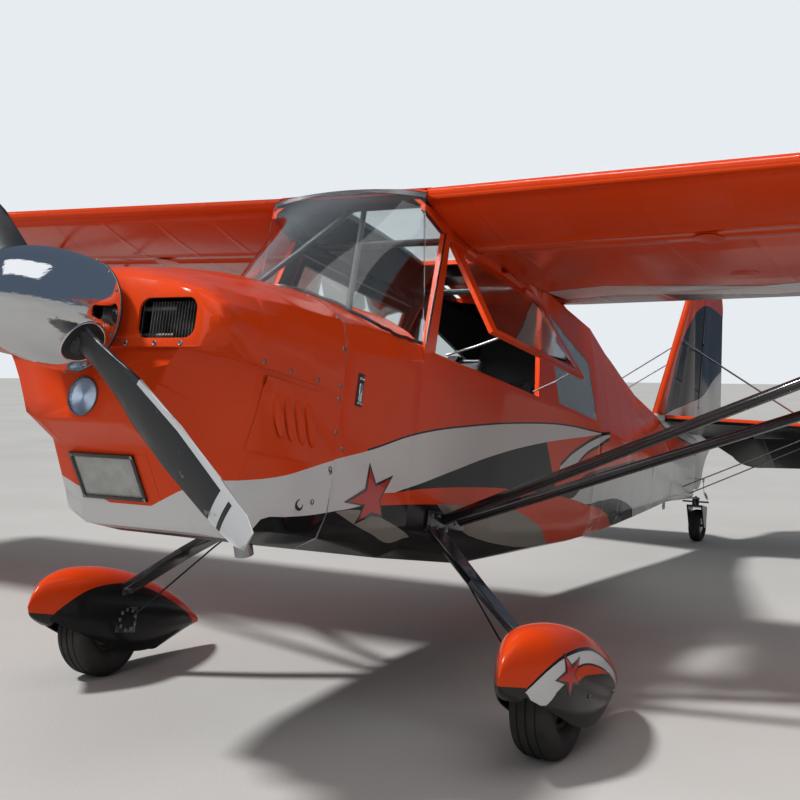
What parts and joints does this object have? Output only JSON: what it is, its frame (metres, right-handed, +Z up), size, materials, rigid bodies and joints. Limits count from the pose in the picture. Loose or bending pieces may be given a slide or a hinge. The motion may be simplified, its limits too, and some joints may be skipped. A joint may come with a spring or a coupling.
{
  "type": "two-seat high-wing aerobatic aircraft",
  "caption": "Strut-braced high-wing monoplane with tandem seats, tailwheel gear, wheel fairings and a tractor propeller, parked.",
  "frame": {"origin": "on the ground under the middle of the bounding box, parked on the three tyres", "axes": "+X to the nose, +Y to the port wing tip, +Z up from the ground"},
  "size_m": [6.8839, 9.798, 1.9879],
  "materials": {
    "red_paint": "gloss",
    "black_paint": "gloss",
    "bare_metal": "satin",
    "polished_metal": "polished",
    "steel": "satin",
    "glazing": "clear",
    "clear_lens": "clear",
    "tyre_rubber": "matte",
    "grey_plastic": "matte",
    "floor_board": "satin",
    "seat_fabric": "woven"
  },
  "bodies": {
    "airframe": {"aft_fuselage": "red_paint", "air_filter": "grey_plastic", "axles": "bare_metal", "boot_cowl": "red_paint", "cabin_belly": "black_paint", "cabin_floor": "floor_board", "cabin_frame": "black_paint", "cabin_roof": "red_paint", "cabin_side_left": "red_paint", "cabin_side_right": "red_paint", "controls": "grey_plastic", "cowl_lower": "red_paint", "cowl_upper": "red_paint", "engine_block": "bare_metal", "exhaust": "steel", "fin": "black_paint", "firewall": "bare_metal", "front_strut_left": "red_paint", "front_strut_right": "red_paint", "gear_leg_left": "black_paint", "gear_leg_right": "black_paint", "instrument_panel": "grey_plastic", "jury_struts": "red_paint", "landing_light": "clear_lens", "rear_strut_left": "red_paint", "rear_strut_right": "red_paint", "rear_windows": "glazing", "seat_front": "seat_fabric", "seat_rear": "seat_fabric", "side_window_frame": "red_paint", "side_window_glass": "glazing", "skylight": "glazing", "stabilizer": "red_paint", "tail_bracing": "steel", "tail_spring": "black_paint", "tie_downs": "bare_metal", "wheel_pant_left": "red_paint", "wheel_pant_right": "red_paint", "windshield": "glazing", "wing_left": "red_paint", "wing_right": "red_paint", "wingtip_light_left": "clear_lens", "wingtip_light_right": "clear_lens"},
    "propeller": {"propeller_blades": "black_paint", "spinner": "polished_metal"},
    "door": {"door": "red_paint", "door_window": "glazing"},
    "aileron_left": {"aileron_left": "red_paint"},
    "aileron_right": {"aileron_right": "red_paint"},
    "elevator": {"elevator": "black_paint"},
    "rudder": {"rudder": "black_paint"},
    "tail_fork": {"tailwheel_fork": "black_paint"},
    "tail_wheel": {"tail_rim": "bare_metal", "tail_tyre": "tyre_rubber"},
    "wheel_left": {"tyre_left": "tyre_rubber", "rim_left": "bare_metal"},
    "wheel_right": {"tyre_right": "tyre_rubber", "rim_right": "bare_metal"}
  },
  "joints": [
    {"name": "propeller_spin", "type": "hinge", "parent": "airframe", "child": "propeller", "pos_m": [3.16226, 0, 1.39568], "axis": [0.9816, 0, 0.191], "continuous": true},
    {"name": "door_swing", "type": "hinge", "parent": "airframe", "child": "door", "pos_m": [1.74189, -0.41, 1.11936], "axis": [-0.191, 0, 0.9816], "range_deg": [0, 34]},
    {"name": "aileron_left_turn", "type": "hinge", "parent": "airframe", "child": "aileron_left", "pos_m": [0.44203, 2.33007, 1.64556], "axis": [-0.004, 0.9998, 0.0206], "range_deg": [-20, 20]},
    {"name": "aileron_right_turn", "type": "hinge", "parent": "airframe", "child": "aileron_right", "pos_m": [0.44203, -2.33007, 1.64556], "axis": [0.004, 0.9998, -0.0206], "range_deg": [-20, 20]},
    {"name": "elevator_turn", "type": "hinge", "parent": "airframe", "child": "elevator", "pos_m": [-2.7277, 0, 0.77551], "axis": [0, 1, 0], "range_deg": [-2, 52]},
    {"name": "rudder_turn", "type": "hinge", "parent": "airframe", "child": "rudder", "pos_m": [-2.8046, 0, 0.84612], "axis": [-0.191, 0, 0.9816], "range_deg": [-25, 25]},
    {"name": "tailwheel_steer", "type": "hinge", "parent": "airframe", "child": "tail_fork", "pos_m": [-2.85854, 0, 0.28551], "axis": [-0.191, 0, 0.9816], "range_deg": [-40, 40]},
    {"name": "tailwheel_spin", "type": "hinge", "parent": "tail_fork", "child": "tail_wheel", "pos_m": [-2.9073, 0, 0.112], "axis": [0, 1, 0], "continuous": true},
    {"name": "wheel_left_spin", "type": "hinge", "parent": "airframe", "child": "wheel_left", "pos_m": [1.99289, 0.965, 0.18], "axis": [0, 1, 0], "continuous": true},
    {"name": "wheel_right_spin", "type": "hinge", "parent": "airframe", "child": "wheel_right", "pos_m": [1.99289, -0.965, 0.18], "axis": [0, 1, 0], "continuous": true}
  ],
  "couplings": [
    {"joint": "aileron_right_turn", "follows": "aileron_left_turn", "ratio": -1}
  ]
}
